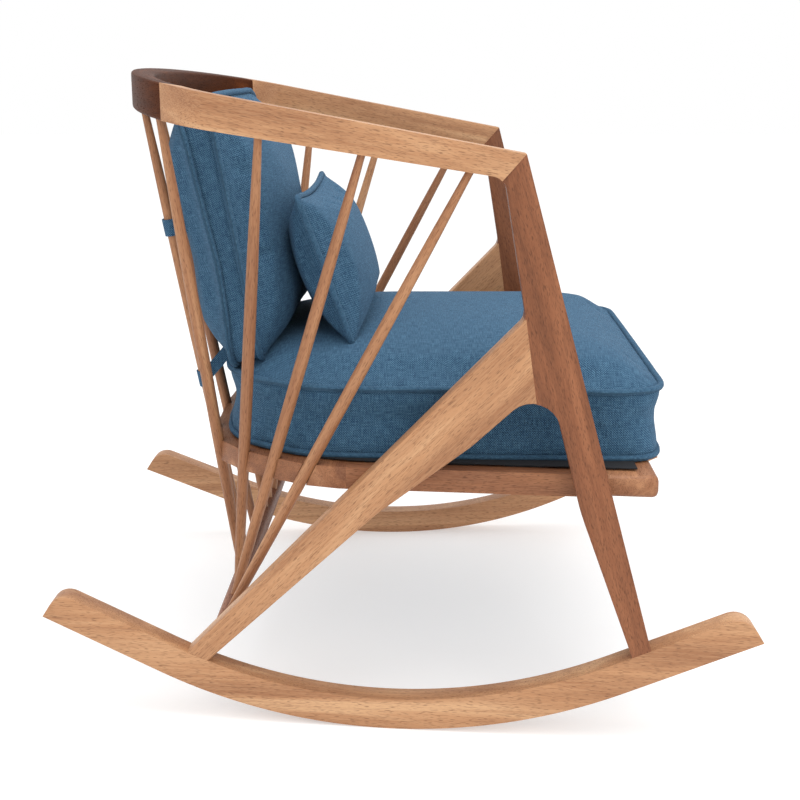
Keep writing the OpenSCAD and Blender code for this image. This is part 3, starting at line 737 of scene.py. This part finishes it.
def swell(obj: bpy.types.Object, seams: np.ndarray, cloth: ClothSettings) -> None:
    """Swells a closed form as cloth under pressure and keeps its seams in place.

    The form is remeshed, simulated without gravity, and each point's way is then
    limited to cap * smooth_step(distance to the nearest seam / seam_hold) + seam_play.

    Args:
        obj: The closed form; its mesh is replaced.
        seams: Points along the seams.
        cloth: Settings of the simulation.
    """
    remesh = obj.modifiers.new("voxels", "REMESH")
    remesh.mode = "VOXEL"
    remesh.voxel_size = cloth.voxel
    remesh.use_smooth_shade = True
    bake(obj)
    start = points_of(obj.data)
    sim = obj.modifiers.new("cloth", "CLOTH")
    sim.settings.quality = 4
    sim.settings.use_pressure = True
    sim.settings.uniform_pressure_force = cloth.pressure
    sim.settings.effector_weights.gravity = 0.0
    sim.settings.tension_stiffness = cloth.tension
    sim.settings.compression_stiffness = cloth.squeeze
    sim.settings.bending_stiffness = cloth.bending
    sim.collision_settings.use_collision = False
    sim.point_cache.frame_start = 1
    sim.point_cache.frame_end = cloth.frames
    scene = bpy.context.scene
    for frame_number in range(1, cloth.frames + 1):
        scene.frame_set(frame_number)
    bake(obj)
    scene.frame_set(1)
    moved = points_of(obj.data) - start
    way = np.linalg.norm(moved, axis=1)
    near = np.full(len(start), 1e9)
    for block in np.array_split(seams, max(1, len(seams) // 40)):
        gap = np.linalg.norm(start[:, None] - block[None], axis=2).min(1)
        near = np.minimum(near, gap)
    limit = cloth.cap * smooth_step(near / cloth.seam_hold) + cloth.seam_play
    scale = np.minimum(1.0, limit / np.maximum(way, 1e-9))
    set_points(obj.data, start + moved * scale[:, None])


def bake(obj: bpy.types.Object) -> None:
    """Applies all modifiers of an object to its mesh.

    Args:
        obj: The object; its old mesh is removed.
    """
    dg = bpy.context.evaluated_depsgraph_get()
    made = bpy.data.meshes.new_from_object(obj.evaluated_get(dg))
    old = obj.data
    obj.modifiers.clear()
    obj.data = made
    bpy.data.meshes.remove(old)


def weave_map(mesh: bpy.types.Mesh, frame_in: np.ndarray) -> None:
    """Lays the weave on a cushion, panel by panel, as a UV map in metres.

    Each face takes the two directions of the panel frame that it faces most squarely:
    its front and back use the first two, its sides the third with one of them.

    Args:
        mesh: The cushion's mesh.
        frame_in: Rows are the panel's two weave directions and its outward direction.
    """
    count = len(mesh.polygons)
    normal = np.empty(count * 3)
    mesh.polygons.foreach_get("normal", normal)
    local = np.abs(normal.reshape(-1, 3) @ frame_in.T)
    local[:, 2] *= 1.25
    facing = np.argmax(local, axis=1)
    starts = np.empty(count, int)
    totals = np.empty(count, int)
    corner = np.empty(len(mesh.loops), int)
    mesh.polygons.foreach_get("loop_start", starts)
    mesh.polygons.foreach_get("loop_total", totals)
    mesh.loops.foreach_get("vertex_index", corner)
    face_of = np.repeat(np.arange(count), totals)
    at = (points_of(mesh) @ frame_in.T)[corner]
    pick = np.array([[1, 2], [0, 2], [0, 1]])[facing[face_of]]
    rows = np.arange(len(corner))
    uv = np.stack([at[rows, pick[:, 0]], at[rows, pick[:, 1]]], 1)
    layer = mesh.uv_layers.new(name="weave")
    layer.data.foreach_set("uv", np.ascontiguousarray(uv, np.float32).ravel())


def cord_map(mesh: bpy.types.Mesh, sides: int, pitch: float, girth: float) -> None:
    """Lays the weave on a piping cord, on the bias.

    One direction is length plus girth, and the other is girth minus length.

    Args:
        mesh: The cord's mesh, whose points are stored ring by ring.
        sides: Number of points in a ring.
        pitch: Distance between two rings.
        girth: Way round the cord.
    """
    count = len(mesh.loops)
    corner = np.empty(count, int)
    mesh.loops.foreach_get("vertex_index", corner)
    row, side = corner // sides, corner % sides
    u = row * pitch + side * girth / sides
    v = side * girth / sides - row * pitch
    layer = mesh.uv_layers.new(name="weave")
    layer.data.foreach_set("uv", np.ascontiguousarray(np.stack([u, v], 1), np.float32).ravel())


@dataclass
class Cushion:
    """Common parts of the cushions: a name, a body, a solid and a local frame.

    In the local frame a and b run across the cushion's faces and c runs through it.
    """

    name: str
    body: str
    node: str
    origin: Vector
    axis_a: Vector
    axis_b: Vector
    axis_c: Vector
    finishes: dict[Paint, Finish]
    fill: float = 0.7
    piping: float = 4.3 * MM

    @property
    def basis(self) -> np.ndarray:
        """Rows are the directions a, b and c."""
        return np.array([self.axis_a.normalized(), self.axis_b.normalized(), self.axis_c.normalized()])

    def place(self, local: np.ndarray) -> np.ndarray:
        """Turns local a, b, c coordinates into places in the row frame."""
        return local @ self.basis + np.array(self.origin)

    def finish(self, obj: bpy.types.Object) -> None:
        """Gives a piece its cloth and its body.

        Args:
            obj: The piece.
        """
        obj.data.materials.clear()
        obj.data.materials.append(self.finishes[Paint.CLOTH].material())
        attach(obj, self.body)
        LOG.info("%s: %d faces", obj.name, len(obj.data.polygons))

    def pipe(self, path: np.ndarray, skin: bpy.types.Object, tag: str) -> None:
        """Sews a piping cord where a path meets the skin.

        Args:
            path: Closed seam path in the row frame.
            skin: The stuffed form.
            tag: Ending of the piece's name.
        """
        path = resample(path, len(path))
        bm = bmesh.new()
        bm.from_mesh(skin.data)
        tree = BVHTree.FromBMesh(bm)
        bm.free()
        middle = path.mean(0)
        on_skin = []
        for p in path:
            spot, normal, _, _ = tree.find_nearest(Vector(p))
            away = (Vector(p) - Vector(middle)).normalized()
            on_skin.append(spot + (normal * 0.5 + away * 0.5) * self.piping * 0.9)
        line = np.array(on_skin)
        for _ in range(3):
            line = (np.roll(line, 1, 0) + 2 * line + np.roll(line, -1, 0)) / 4
        sides = 10
        cord = tube(f"{self.name}_piping_{tag}", line, self.piping, sides)
        step = np.linalg.norm(np.roll(line, -1, 0) - line, axis=1).mean()
        cord_map(cord.data, sides, step, 2 * math.pi * self.piping)
        self.finish(cord)


@dataclass
class BoxedCushion(Cushion):
    """A cushion with two faces and a boxing strip between two piped seams."""

    outline: Optional[np.ndarray] = None
    low: Callable[[np.ndarray], np.ndarray] = lambda p: np.zeros(len(p))
    high: Callable[[np.ndarray], np.ndarray] = lambda p: np.full(len(p), 0.05)
    crown_low: float = 0.0
    crown_high: float = 0.03
    peak: tuple[float, float] = (0.0, 0.0)
    cloth: ClothSettings = field(default_factory=ClothSettings)
    rings: int = 16
    slack: float = 0.985

    def face_ring(self, s: float, crown: float, edge: Callable[[np.ndarray], np.ndarray]) -> np.ndarray:
        """One ring of a face: the outline drawn in to a share s of its size.

        Its height is the edge's height plus crown * (1 - s^2.6), and the crown's top
        is drawn towards the cushion's peak.

        Args:
            s: 1 on the seam and 0 at the peak.
            crown: Rise of the face at its peak.
            edge: Height of the seam at each point of the outline.

        Returns:
            Points of the ring, in local coordinates.
        """
        centre = self.outline.mean(0) + (1 - s) * np.array(self.peak)
        flat = centre + (self.outline - centre) * s
        height = edge(self.outline) * s + edge(self.outline).mean() * (1 - s)
        return np.column_stack([flat, height + crown * (1 - s**2.6)])

    def build(self) -> bpy.types.Object:
        """Builds the swollen form and its piping.

        Returns:
            The cushion's object.
        """
        shares = np.cos(np.linspace(0.04, 0.5, self.rings) * math.pi)[::-1]
        shares = np.clip(shares / shares.max(), 0.03, 1.0)
        below = [self.face_ring(s, -self.crown_low, self.low) for s in shares]
        above = [self.face_ring(s, self.crown_high, self.high) for s in shares[::-1]]
        waist = []
        for t in np.linspace(0, 1, 6)[1:-1]:
            flat = self.outline
            height = self.low(flat) * (1 - t) + self.high(flat) * t
            waist.append(np.column_stack([flat, height]))
        rows = below + waist + above
        cols = len(self.outline)
        local = np.vstack(rows)
        centre_xy = self.outline.mean(0)
        local[:, :2] = centre_xy + (local[:, :2] - centre_xy) * self.slack
        faces = [tuple(f) for f in grid_faces(len(rows), cols, True)]
        faces.append(tuple(range(cols))[::-1])
        faces.append(tuple(range((len(rows) - 1) * cols, len(rows) * cols)))
        obj = new_object(self.name, self.place(local), faces)
        tidy_normals(obj.data)
        seam_low = self.place(np.column_stack([self.outline, self.low(self.outline)]))
        seam_high = self.place(np.column_stack([self.outline, self.high(self.outline)]))
        swell(obj, np.vstack([seam_low, seam_high]), self.cloth)
        self.pucker(obj, np.vstack([seam_low, seam_high]))
        weave_map(obj.data, self.basis)
        self.finish(obj)
        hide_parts(self.node)
        self.pipe(seam_low, obj, "low")
        self.pipe(seam_high, obj, "high")
        return obj

    def pucker(self, obj: bpy.types.Object, seams: np.ndarray) -> None:
        """Draws the skin in at the seams and ripples it a little beside them.

        The skin is drawn in by 2.6 mm * exp(-(d / 9 mm)^2) at a distance d from the
        seam, and rippled by 0.6 mm * sin(29 mm waves) * exp(-d / 26 mm) outside 6 mm.

        Args:
            obj: The swollen form.
            seams: Points along the seams.
        """
        co = points_of(obj.data)
        no = normals_of(obj.data)
        near = np.full(len(co), 1e9)
        which = np.zeros(len(co), int)
        for first in range(0, len(seams), 40):
            gap = np.linalg.norm(co[:, None] - seams[None, first : first + 40], axis=2)
            best = gap.min(1)
            closer = best < near
            which[closer] = first + gap.argmin(1)[closer]
            near = np.minimum(near, best)
        step = np.linalg.norm(np.roll(seams, -1, 0) - seams, axis=1)
        run = np.cumsum(np.minimum(step, 0.05))
        wave = np.sin(run[which] * 2 * math.pi / 0.029 + 1.7 * np.sin(run[which] * 31.0))
        inward = 2.6 * MM * np.exp(-((near / (9 * MM)) ** 2))
        ripple = 0.6 * MM * wave * np.exp(-near / (26 * MM)) * smooth_step(near / (6 * MM))
        set_points(obj.data, co + no * (ripple - inward)[:, None])


@dataclass
class KnifePillow(Cushion):
    """A pillow of two panels sewn edge to edge, with pointed corners."""

    half_a: float = 0.19
    half_b: float = 0.11
    half_c: float = 0.047
    cloth: ClothSettings = field(default_factory=ClothSettings)

    def build(self) -> bpy.types.Object:
        """Builds the swollen pillow.

        Both panels are grids over u and v from -1 to 1. Their edges draw in between the
        corners: a = A u (1 - 0.05 (1 - v^2) |u|^3) and b = B v (1 - 0.10 (1 - u^2) |v|^3).
        Each panel stands C ((1 - u^2)(1 - v^2))^0.42 off the seam's plane, plus 0.6 mm.

        Returns:
            The pillow's object.
        """
        n = 33
        t = np.sin(np.linspace(-0.5, 0.5, n) * math.pi)
        u, v = np.meshgrid(t, t, indexing="ij")
        a = self.half_a * u * (1 - 0.05 * (1 - v**2) * np.abs(u) ** 3)
        b = self.half_b * v * (1 - 0.10 * (1 - u**2) * np.abs(v) ** 3)
        c = self.half_c * np.maximum((1 - u**2) * (1 - v**2), 0) ** 0.42
        front = np.stack([a, b, c + 0.6 * MM], 2).reshape(-1, 3)
        back = np.stack([a, b, -c - 0.6 * MM], 2).reshape(-1, 3)
        faces = grid_faces(n, n, False)
        faces += [tuple(i + n * n for i in f[::-1]) for f in faces]
        k = np.arange(n - 1)
        last = n - 1
        far = n * last
        rims = (
            (k, k + 1),
            (k * n, (k + 1) * n),
            (k + far, k + 1 + far),
            (k * n + last, (k + 1) * n + last),
        )
        for p, q in rims:
            faces += list(zip(p, q, q + n * n, p + n * n))
        obj = new_object(self.name, self.place(np.vstack([front, back])), faces)
        tidy_normals(obj.data)
        edge = np.concatenate(
            [
                np.arange(n),
                np.arange(1, n) * n + last,
                np.arange(n - 2, -1, -1) + far,
                np.arange(n - 2, 0, -1) * n,
            ]
        )
        seam = resample(self.place(np.column_stack([front[edge, :2], np.zeros(len(edge))])), 150)
        swell(obj, seam, self.cloth)
        weave_map(obj.data, self.basis)
        self.finish(obj)
        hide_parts(self.node)
        self.pipe(seam, obj, "edge")
        return obj


@dataclass
class SoftGoods:
    """The three cushions and the back cushion's loops, from the frame's own solids."""

    frame: dict
    finishes: dict[Paint, Finish]
    back_lean: float = math.radians(12.75)
    pillow_lean: float = math.radians(20.0)

    def seat(self) -> None:
        """The boxed seat cushion, on the plan of its solid."""
        co = points_of(self.frame["nodes"]["seat_cushion"].data)
        lo, hi = co.min(0), co.max(0)
        plan = co[co[:, 2] < lo[2] + 0.1 * MM][:, :2]
        middle = plan.mean(0)
        angle = np.arctan2(plan[:, 1] - middle[1], plan[:, 0] - middle[0])
        order = np.argsort(angle)
        outline = resample(plan[order][np.unique(np.round(angle[order], 5), return_index=True)[1]], 220)
        for _ in range(6):
            outline = (np.roll(outline, 1, 0) + 2 * outline + np.roll(outline, -1, 0)) / 4
        # The stuffed front pushes a little past its solid.
        outline[:, 0] += 9 * MM * smooth_step((outline[:, 0] - 0.05) / 0.25)
        base, top = lo[2] - 2.5 * MM, 0.4215
        cushion = BoxedCushion(
            "seat_cushion_stuffed",
            "seat_cushion_body",
            "seat_cushion",
            Vector((0, 0, 0)),
            Vector((1, 0, 0)),
            Vector((0, 1, 0)),
            Vector((0, 0, 1)),
            self.finishes,
            outline=outline,
            low=lambda p: np.full(len(p), base),
            high=lambda p: np.full(len(p), top),
            crown_low=0.0,
            crown_high=hi[2] - top - 16 * MM,
            peak=(0.05, 0.0),
            fill=0.8,
            slack=1.0,
            cloth=ClothSettings(cap=14 * MM, seam_hold=60 * MM),
        )
        cushion.build()

    def back(self) -> None:
        """The boxed back cushion, leaning on the spindles."""
        lean = self.back_lean
        width, tall, droop = 0.440, 0.356, 20 * MM
        half_w, half_h = width / 2 - 2 * MM, tall / 2 - 2 * MM
        t = np.linspace(0, 2 * math.pi, 240, endpoint=False)
        power = 2 / 13.0
        outline = np.column_stack(
            [
                half_w * np.sign(np.cos(t)) * np.abs(np.cos(t)) ** power,
                half_h * np.sign(np.sin(t)) * np.abs(np.sin(t)) ** power,
            ]
        )
        outline = resample(outline, 200)
        along = Vector((-math.sin(lean), 0, math.cos(lean)))
        out = Vector((math.cos(lean), 0, math.sin(lean)))
        origin = Vector((-0.205, 0, 0.442)) + along * (tall / 2 - droop)
        cushion = BoxedCushion(
            "back_cushion_stuffed",
            "chair",
            "back_cushion",
            origin,
            Vector((0, 1, 0)),
            along,
            out,
            self.finishes,
            outline=outline,
            low=lambda p: 1.5 * MM - 14 * MM * smooth_step(-p[:, 1] / half_h) ** 1.5,
            high=lambda p: 0.037 + 0.009 * p[:, 1] / half_h,
            crown_low=0.036,
            crown_high=0.048,
            fill=0.8,
            cloth=ClothSettings(cap=14 * MM, seam_hold=50 * MM),
        )
        cushion.build()

    def pillow(self) -> None:
        """The throw pillow standing against the back cushion."""
        lo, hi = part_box("throw_pillow")
        lean = self.pillow_lean
        pillow = KnifePillow(
            "throw_pillow_stuffed",
            "pillow_body",
            "throw_pillow",
            (lo + hi) / 2 + Vector((-0.012, 0, -0.010)),
            Vector((0, 1, 0)),
            Vector((-math.sin(lean), 0, math.cos(lean))),
            Vector((math.cos(lean), 0, math.sin(lean))),
            self.finishes,
            fill=0.65,
            half_a=0.198,
            half_b=0.103,
            half_c=0.036,
            cloth=ClothSettings(voxel=4.5 * MM, cap=12 * MM, seam_hold=45 * MM),
        )
        pillow.build()

    def loops(self, shop: WoodShop) -> None:
        """Dresses the cloth loops round two spindles.

        Args:
            shop: Where solids are copied.
        """
        bm = shop.merged("cushion_loops")
        mesh = bpy.data.meshes.new("cushion_loops_sewn")
        for face in bm.faces:
            face.smooth = True
        for edge in bm.edges:
            edge.smooth = edge.calc_face_angle(0.0) < math.radians(35)
        bm.to_mesh(mesh)
        bm.free()
        weave_map(mesh, np.eye(3))
        obj = bpy.data.objects.new("cushion_loops_sewn", mesh)
        bpy.context.scene.collection.objects.link(obj)
        mesh.materials.append(self.finishes[Paint.CLOTH].material())
        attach(obj, "chair")
        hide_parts("cushion_loops")
        LOG.info("%s: %d faces", obj.name, len(mesh.polygons))

    def lining(self, shop: WoodShop) -> None:
        """Copies the black platform cloth over the straps, cut 653 x 533 mm with cut-off corners, and gives
        it its finish.

        Args:
            shop: Where solids are copied.
        """
        bm = shop.merged("platform_cloth")
        mesh = bpy.data.meshes.new("platform_cloth_stretched")
        bm.to_mesh(mesh)
        bm.free()
        obj = bpy.data.objects.new("platform_cloth_stretched", mesh)
        bpy.context.scene.collection.objects.link(obj)
        mesh.materials.append(self.finishes[Paint.LINING].material())
        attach(obj, "chair")
        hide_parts("platform_cloth")

    def build(self, shop: WoodShop) -> None:
        """Builds every soft piece and dresses the straps.

        Args:
            shop: Where solids are copied.
        """
        self.seat()
        self.back()
        self.pillow()
        self.loops(shop)
        self.lining(shop)
        mesh = self.frame["nodes"]["seat_webbing"].data
        mesh.materials.clear()
        mesh.materials.append(self.finishes[Paint.WEBBING].material())


# ---------------------------------------------------------------- studio


@dataclass
class Studio:
    """White paper floor, large soft lights and the camera."""

    eye: Vector = field(default_factory=lambda: Vector((0.046, -1.860, 0.8118)))
    down: float = math.radians(14.44)
    left: float = math.radians(1.43)
    lens: float = 58.5

    def camera(self) -> None:
        """Camera level with the arms, seen square from the sitter's right."""
        data = bpy.data.cameras.new("camera")
        data.lens = self.lens
        data.sensor_width = 36.0
        obj = bpy.data.objects.new("camera", data)
        obj.location = self.eye
        obj.rotation_euler = (math.pi / 2 - self.down, 0, self.left)
        bpy.context.scene.collection.objects.link(obj)
        bpy.context.scene.camera = obj

    def floor(self) -> None:
        """A wide sheet of white paper under the chair."""
        reach = 14.0
        corners = reach * np.array([[-1, -1], [1, -1], [1, 1], [-1, 1]], float)
        # A hair below the rockers, so that they do not share a surface with it.
        verts = np.column_stack([corners, np.full(4, -0.3 * MM)])
        obj = new_object("paper_floor", verts, [(0, 1, 2, 3)])
        obj.data.materials.append(StudioPaper().material())

    def light(self, name: str, place: tuple, aim: tuple, size: float, power: float, tint: str) -> None:
        """One square soft light.

        Args:
            name: Its name.
            place: Where it stands.
            aim: What it points at.
            size: Its width.
            power: Its power in watts.
            tint: Its sRGB hex colour.
        """
        data = bpy.data.lights.new(name, "AREA")
        data.shape = "SQUARE"
        data.size = size
        data.energy = power
        data.color = linear(tint)[:3]
        obj = bpy.data.objects.new(name, data)
        obj.location = place
        obj.rotation_euler = (Vector(aim) - Vector(place)).to_track_quat("-Z", "Y").to_euler()
        bpy.context.scene.collection.objects.link(obj)

    def build(self) -> None:
        """Camera, floor, three lights and a white surround."""
        self.camera()
        self.floor()
        self.light("overhead", (0.3, -0.3, 3.0), (0, 0, 0.3), 2.4, 46.0, "ffffff")
        self.light("front_fill", (1.6, -2.6, 1.9), (0, 0, 0.4), 1.8, 22.0, "fff8f0")
        self.light("side_fill", (-2.4, -1.6, 1.6), (0, 0, 0.4), 1.6, 8.0, "f4f8ff")
        world = bpy.data.worlds.new("white_surround")
        world.use_nodes = True
        back = world.node_tree.nodes["Background"]
        back.inputs["Color"].default_value = (1, 1, 1, 1)
        back.inputs["Strength"].default_value = 1.0
        bpy.context.scene.world = world
        bpy.context.scene.view_settings.view_transform = "Standard"


def main() -> None:
    """Builds the chair and the studio."""
    logging.basicConfig(level=logging.INFO, format="%(name)s: %(message)s")
    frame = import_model()
    finishes = make_finishes()
    shop = WoodShop(frame, finishes)
    WoodenFrame(shop).build()
    SoftGoods(frame, finishes).build(shop)
    Studio().build()


if __name__ == "__main__":
    main()
